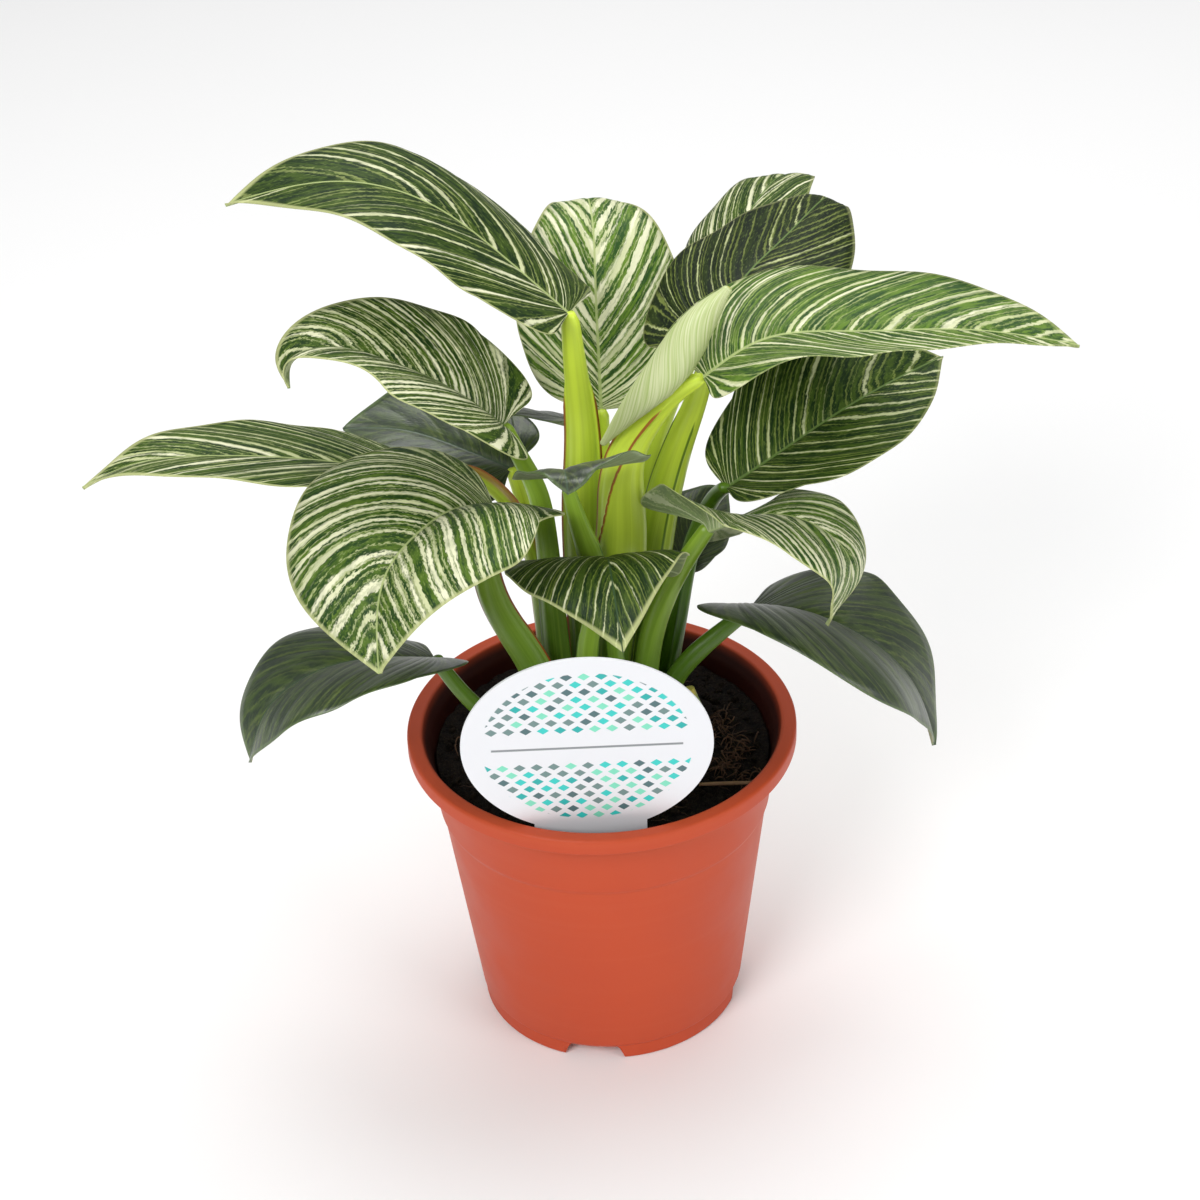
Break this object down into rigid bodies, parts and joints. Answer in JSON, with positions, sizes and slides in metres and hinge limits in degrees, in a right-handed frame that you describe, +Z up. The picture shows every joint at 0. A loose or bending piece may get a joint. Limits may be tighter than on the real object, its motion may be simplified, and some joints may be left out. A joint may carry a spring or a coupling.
{
  "type": "potted philodendron",
  "caption": "Variegated philodendron in a round tapered nursery pot: pinstriped ovate leaves arch out on sheathed petioles above dark soil, with a round care label in front.",
  "frame": {"origin": "centre of the pot's underside, on the surface it stands on", "axes": "+Z up the pot's axis; -Y to the front, where the care label stands; +X to the right of someone facing the front"},
  "size_m": [0.288, 0.1791, 0.286],
  "materials": {
    "terracotta_plastic": "matte",
    "potting_soil": "matte",
    "label_card": "satin",
    "striped_leaf": "satin",
    "plain_leaf": "satin",
    "petiole": "satin",
    "stem": "matte",
    "new_leaf": "satin"
  },
  "bodies": {
    "root": {"blade_back_centre": "striped_leaf", "blade_back_left": "plain_leaf", "blade_back_right": "striped_leaf", "blade_far_left": "striped_leaf", "blade_front_centre": "striped_leaf", "blade_front_left": "striped_leaf", "blade_front_right": "striped_leaf", "blade_long_right": "striped_leaf", "blade_low_left": "plain_leaf", "blade_low_right": "plain_leaf", "blade_middle_left": "striped_leaf", "blade_middle_right": "striped_leaf", "blade_shaded_left": "plain_leaf", "blade_shaded_right": "plain_leaf", "blade_upper_left": "striped_leaf", "blade_upper_right": "striped_leaf", "blade_young_centre": "plain_leaf", "bud": "new_leaf", "new_leaf_spear": "new_leaf", "petiole_back_centre": "petiole", "petiole_back_left": "petiole", "petiole_back_right": "petiole", "petiole_far_left": "petiole", "petiole_front_centre": "petiole", "petiole_front_left": "petiole", "petiole_front_right": "petiole", "petiole_long_right": "petiole", "petiole_low_left": "petiole", "petiole_low_right": "petiole", "petiole_middle_left": "petiole", "petiole_middle_right": "petiole", "petiole_shaded_left": "petiole", "petiole_shaded_right": "petiole", "petiole_upper_left": "petiole", "petiole_upper_right": "petiole", "petiole_young_centre": "petiole", "plant_label": "label_card", "pot": "terracotta_plastic", "root_stem": "stem", "soil": "potting_soil"}
  },
  "joints": []
}
